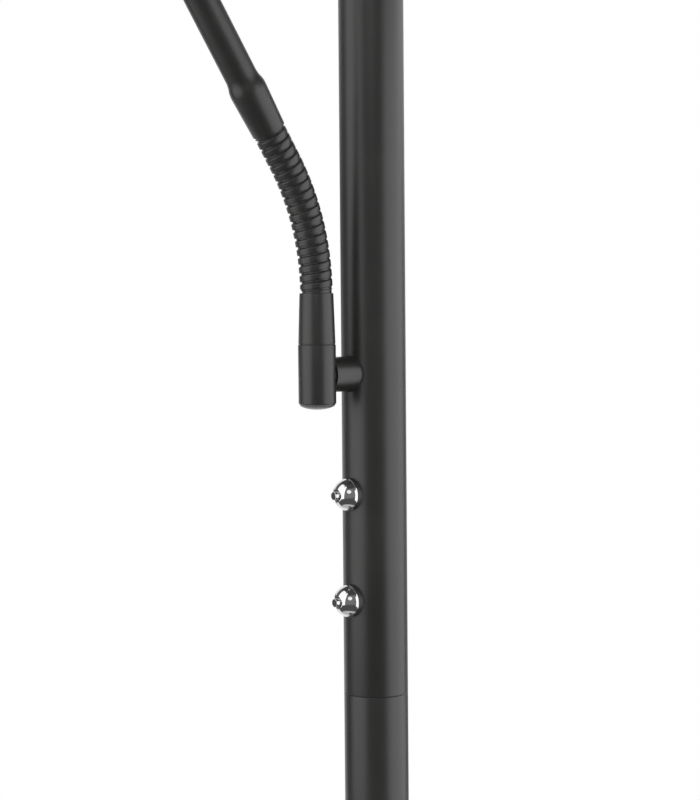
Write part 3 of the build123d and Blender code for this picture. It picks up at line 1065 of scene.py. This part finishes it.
armEndPlug()
eased("headFork", "head_fork", forkSet["edge"], forkSet["crease"])
eased("headBracket", "head_bracket", forkSet["edge"], forkSet["crease"])
pinScrew()
setScrew()
print("knuckle made")


# Reading light, along Z from the knuckle's pin
headSet = {
    "start": 15 * mm,
    "radius": 28 * mm,
    "length": 68 * mm,
    "wall": 1.5 * mm,
    "rearHole": 3 * mm,
    "rearEdge": 8 * mm,
    "seam": 0.35 * mm,
    "seamEdge": 0.25 * mm,
    "bezel": 3 * mm,
    "bezelEdge": 0.9 * mm,
    "opening": 22.25 * mm,
    "steps": 160,
    "lensRadius": 25.2 * mm,
    "lensSink": 5 * mm,
    "lensThick": 2.4 * mm,
    "lensEdge": 0.2 * mm,
    "lensSteps": 128,
}


def headFrame():
    # Z from the pin to the lens
    pin = Vector(jointNamed["head_tilt"]["pos_m"])
    across = Vector(jointNamed["head_tilt"]["axis"])
    ahead = (middleOf("head_lens") - pin).normalized()
    side = ahead.cross(across).normalized()
    turn = Matrix((side.cross(ahead), side, ahead)).transposed()
    return Matrix.Translation(pin) @ turn.to_4x4()


def readingLight():
    size = headSet
    place = headFrame()
    rear = size["start"] + size["wall"]
    front = size["start"] + size["length"]
    inner = size["radius"] - size["wall"]
    housing = [
        (size["rearHole"], size["start"]),
        (size["radius"], size["start"], size["rearEdge"]),
        (size["radius"], front - size["seam"], size["seamEdge"]),
        (inner, front - size["seam"]),
        (inner, rear, size["rearEdge"] - size["wall"]),
        (size["rearHole"], rear),
    ]
    ridden("headHousing", turned(housing, place, size["steps"]), "head_housing")
    lensLow = front - size["lensSink"]
    lensTop = lensLow + size["lensThick"]
    rim = front + size["bezel"]
    bezel = [
        (size["radius"], front, size["seamEdge"]),
        (size["radius"], rim, size["bezelEdge"]),
        (size["opening"], rim, size["bezelEdge"]),
        (size["opening"], lensTop),
        (inner, lensTop),
        (inner, front),
    ]
    ridden("headBezel", turned(bezel, place, size["steps"]), "head_bezel")
    lens = [
        (0, lensLow),
        (size["lensRadius"], lensLow),
        (size["lensRadius"], lensTop, size["lensEdge"]),
        (0, lensTop),
    ]
    ridden("headLens", turned(lens, place, size["lensSteps"]), "head_lens")


readingLight()
print("reading light made")


# Uplighter
dishSet = {
    "wall": 1.2 * mm,
    "floor": 34 * mm,
    "bore": 6 * mm,
    "lip": 5 * mm,
    "lipEdge": 0.5 * mm,
    "lipStep": 0.2 * mm,  # where the inner wall meets the bowl
    "bowlSteps": 40,
    "steps": 192,
}


def bowl(radius, centre, turns):
    return [(dishSet["floor"] + radius * math.sin(turn), centre - radius * math.cos(turn)) for turn in turns]


def uplighterDish():
    size = dishSet
    low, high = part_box("uplighter_dish")
    rim = high.x
    lipInner = rim - size["wall"]
    floorTop = low.z + size["wall"]
    run = rim - size["floor"]
    rise = high.z - size["lip"] - low.z
    radius = (run**2 + rise**2) / (2 * rise)
    sweep = math.asin(run / radius)
    turns = [sweep * step / size["bowlSteps"] for step in range(1, size["bowlSteps"] + 1)]
    outer = bowl(radius, low.z + radius, turns)
    inner = bowl(radius - size["wall"], low.z + radius, turns)
    outline = [
        (size["bore"], low.z),
        (size["floor"], low.z),
        *outer,
        (rim, high.z, size["lipEdge"]),
        (lipInner, high.z, size["lipEdge"]),
        (lipInner, inner[-1][1] + size["lipStep"]),
        *inner[-2::-1],
        (size["floor"], floorTop),
        (size["bore"], floorTop),
    ]
    ridden("uplighterDish", turned(outline, steps=size["steps"]), "uplighter_dish")


dishNeckSet = {"rim": 1.5 * mm, "rimEdge": 0.3 * mm, "flareSteps": 20, "steps": 128}


def uplighterNeck():
    size = dishNeckSet
    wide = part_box("uplighter_neck")[1].x
    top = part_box("uplighter_dish")[0].z
    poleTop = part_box("pole_tube_4")[1].z
    flareRise = top - size["rim"] - poleTop
    flare = quarter((wide, poleTop), poleRadius - wide, flareRise, size["flareSteps"])
    outline = [
        *flare[::-1],
        (wide, top, size["rimEdge"]),
        (dishSet["bore"], top),
        (dishSet["bore"], poleTop),
    ]
    ridden("uplighterNeck", turned(outline, steps=size["steps"]), "uplighter_neck")


diffuserSet = {"crown": 0.8 * mm, "crownSteps": 12, "steps": 160}


def uplighterDiffuser():
    size = diffuserSet
    low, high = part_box("uplighter_diffuser")
    edge = high.z - size["crown"]
    shares = [1 - step / size["crownSteps"] for step in range(size["crownSteps"] + 1)]
    crown = [(high.x * share, edge + size["crown"] * (1 - share**2)) for share in shares]
    outline = [(0, low.z), (high.x, low.z), *crown]
    ridden("uplighterDiffuser", turned(outline, steps=size["steps"]), "uplighter_diffuser")


uplighterDish()
uplighterNeck()
uplighterDiffuser()
print("uplighter made")


# Camera, from the photograph's view
cameraSet = {
    "azimuth": math.radians(50),
    "distance": 823.7 * mm,
    "rise": 179.2 * mm,  # above the pole's seam under the arm
    "pitch": math.radians(3.56),
    "yaw": math.radians(0.72),
    "roll": math.radians(-0.50),
    "focalPixels": 1900,
    "heightPixels": 800,
    "sensor": 36.0,
}


def aroundPole(turn, distance, height):
    # a point at that turn to the right of the camera, seen from the pole
    bearing = cameraSet["azimuth"] + turn
    return Vector((math.sin(bearing) * distance, -math.cos(bearing) * distance, height))


def addCamera():
    size = cameraSet
    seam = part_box("pole_tube_3")[0].z
    data = bpy.data.cameras.new("photoCamera")
    data.sensor_fit = "VERTICAL"
    data.sensor_height = size["sensor"]
    data.lens = size["sensor"] * size["focalPixels"] / size["heightPixels"]
    camera = added("photoCamera", data)
    bearing = size["azimuth"] + size["yaw"]
    level = Vector((-math.sin(bearing), math.cos(bearing), 0))
    right = Vector((math.cos(bearing), math.sin(bearing), 0))
    upright = Vector((0, 0, 1))
    ahead = level * math.cos(size["pitch"]) - upright * math.sin(size["pitch"])
    above = upright * math.cos(size["pitch"]) + level * math.sin(size["pitch"])
    side = right * math.cos(size["roll"]) + above * math.sin(size["roll"])
    top = above * math.cos(size["roll"]) - right * math.sin(size["roll"])
    turn = Matrix((side, top, -ahead)).transposed().to_4x4()
    camera.matrix_world = Matrix.Translation(aroundPole(0, size["distance"], seam + size["rise"])) @ turn
    bpy.context.scene.camera = camera


addCamera()
print("camera set")


# Light: a softbox to each side, one in front, one overhead, and a dim studio around them
boxSets = {  # turn to the right of the camera and tilt downward, in degrees
    "leftBox": {
        "turn": -65.9, "tilt": 10, "distance": 0.639, "height": 1.285, "width": 0.83, "tall": 1.34,
        "radiance": 1.23, "shape": "RECTANGLE", "mirrored": True,
    },
    "rightBox": {
        "turn": 84, "tilt": 0, "distance": 0.50, "height": 0.94, "width": 0.90, "tall": 0.78,
        "radiance": 1.4, "shape": "RECTANGLE", "mirrored": True,
    },
    "frontBox": {
        "turn": -1, "tilt": 25, "distance": 2.4, "height": 2.07, "width": 1.4, "tall": 1.15,
        "radiance": 0.72, "shape": "ELLIPSE", "mirrored": True,
    },
    "topBox": {
        "turn": 0, "tilt": 88, "distance": 0.1, "height": 3.0, "width": 1.6, "tall": 1.6,
        "radiance": 1.2, "shape": "RECTANGLE", "mirrored": False,
    },
}


def addSoftboxes():
    for name, size in boxSets.items():
        data = bpy.data.lights.new(name, "AREA")
        data.shape = size["shape"]
        data.size = size["width"]
        data.size_y = size["tall"]
        data.energy = size["radiance"] * math.pi * size["width"] * size["tall"]
        box = added(name, data)
        place = aroundPole(math.radians(size["turn"]), size["distance"], size["height"])
        drop = size["distance"] * math.tan(math.radians(size["tilt"]))
        aim = Vector((0, 0, size["height"] - drop))
        aimed = (aim - place).to_track_quat("-Z", "Y").to_matrix().to_4x4()
        box.matrix_world = Matrix.Translation(place) @ aimed
        box.visible_camera = False
        box.visible_glossy = size["mirrored"]


studioSet = {
    "front": 0.20,
    "side": 0.14,
    "sideBand": (-0.8, -0.3),  # how far a direction points away from the camera
    "ceiling": 0.06,
    "ceilingBand": (0.66, 0.80),  # how far a direction points up
    "white": 1.0,
    "windowTurn": math.radians(172),  # the backdrop's middle, from the camera
    "windowBand": (0.90, 0.98),  # how far a direction points to that
    "windowRise": (0.00, 0.18),  # the backdrop is wider above these
    "windowSpread": 0.36,
    "windowTop": (0.60, 0.75),
    "fill": 0.38,
}


def addStudio():
    size = studioSet
    world = bpy.data.worlds.new("studio")
    bpy.context.scene.world = world
    graph = Graph(world)
    direction = graph.node("TexCoord", output="Generated")
    upward = graph.node("SeparateXYZ", inputs={0: direction}, output="Z")
    facing = graph.along(direction, aroundPole(math.pi, 1, 0))
    walls = size["front"] + (size["side"] - size["front"]) * graph.band(facing, *size["sideBand"])
    walls = walls + (size["ceiling"] - walls) * graph.band(upward, *size["ceilingBand"])
    nearness = graph.along(direction, aroundPole(size["windowTurn"], 1, 0))
    spread = graph.band(upward, *size["windowRise"]) * size["windowSpread"]
    window = graph.band(nearness + spread, *size["windowBand"])
    window = window * (1 - graph.band(upward, *size["windowTop"]))
    mirrored = walls + (size["white"] - walls) * window
    glossy = graph.ray("Glossy")
    level = size["fill"] * (1 - glossy) + mirrored * glossy
    plain = (1 - graph.ray("Camera")) * (1 - graph.ray("Transmission"))
    strength = level * plain + size["white"] * (1 - plain)
    graph.feed(graph.tree.nodes["Background"], {"Color": grey(1.0), "Strength": strength})


addSoftboxes()
addStudio()
print("light set")


# Floor: pale, shaded near the lamp and plain white far off
floorSet = {
    "reach": 40.0,
    "pale": grey(0.86),
    "shade": grey(0.82),
    "fibre": 300.0,
    "fibreDetail": 3.0,
    "roughness": 0.75,
    "whiteBand": (0.4, 1.6),  # how far off it turns white
    "paleShare": 0.45,  # of plain white, close to the lamp
    "sheet": (math.radians(-140), 0.15),  # middle of the sheet under the lamp
    "sheetBand": (0.46, 0.64),  # where that ends, in reflections
    "backNear": (0.2, 0.5),  # where it is white behind, close by
    "backEnd": (1.3, 2.0),
    "backTurn": math.radians(-171),  # and farther off, as a wedge
    "backWedge": 0.78,
    "backBand": (0.0, 0.2),
    "dusk": 0.085,
    "dawn": 0.20,  # towards the horizon ahead
    "dawnFar": (1.6, 4.0),
    "dawnAhead": 0.5,
    "dawnBand": (0.0, 0.5),
}


def floorPaper():
    size = floorSet
    graph = Graph(bpy.data.materials.new("floorPaper"))
    place = graph.objectPlace()
    fibre = graph.noise(place, size["fibre"], size["fibreDetail"])
    colour = graph.blend(fibre, size["pale"], size["shade"])
    graph.surface({"Base Color": colour, "Roughness": size["roughness"]})
    paper = Wire(graph.tree, graph.tree.nodes["Principled BSDF"].outputs[0])
    glossy = graph.ray("Glossy")
    distance = graph.length(place)
    behind = graph.along(place, aroundPole(math.pi, 1, 0))

    near = graph.band(behind, *size["backNear"]) * (1 - graph.band(distance, *size["backEnd"]))
    wedge = graph.along(place, aroundPole(size["backTurn"], 1, 0)) - size["backWedge"] * distance
    wedge = graph.band(wedge, *size["backBand"])
    white = glossy * (1 - (1 - near) * (1 - wedge))
    farOff = size["paleShare"] + (1 - size["paleShare"]) * graph.band(distance, *size["whiteBand"])
    farOff = farOff * (1 - white) + white
    looked = 1 - (1 - graph.ray("Camera")) * (1 - graph.ray("Transmission")) * (1 - white)
    glow = graph.node("Emission", inputs={"Color": grey(1.0), "Strength": 1.0})

    ahead = graph.band(0 - behind - size["dawnAhead"] * distance, *size["dawnBand"])
    horizon = graph.band(distance, *size["dawnFar"]) * ahead
    dim = size["dusk"] + (size["dawn"] - size["dusk"]) * horizon
    dusk = graph.node("Emission", inputs={"Color": grey(1.0), "Strength": dim})
    sheetMiddle = aroundPole(*size["sheet"], 0)
    aside = graph.node("VectorMath", {"operation": "SUBTRACT"}, {0: place, 1: sheetMiddle})
    beyond = graph.band(graph.length(aside), *size["sheetBand"])

    mirrored = graph.node("MixShader", inputs={0: beyond * glossy, 1: paper, 2: dusk})
    mixed = graph.node("MixShader", inputs={0: farOff * looked, 1: mirrored, 2: glow})
    graph.feed(graph.tree.nodes["Material Output"], {"Surface": mixed})
    return graph.owner


def addFloor():
    shape = bmesh.new()
    bmesh.ops.create_grid(shape, x_segments=2, y_segments=2, size=floorSet["reach"])
    floor = added("studioFloor", meshOf("studioFloor", shape))
    floor.data.materials.append(floorPaper())


addFloor()
bpy.context.scene.view_settings.view_transform = "Standard"
print("floor set")
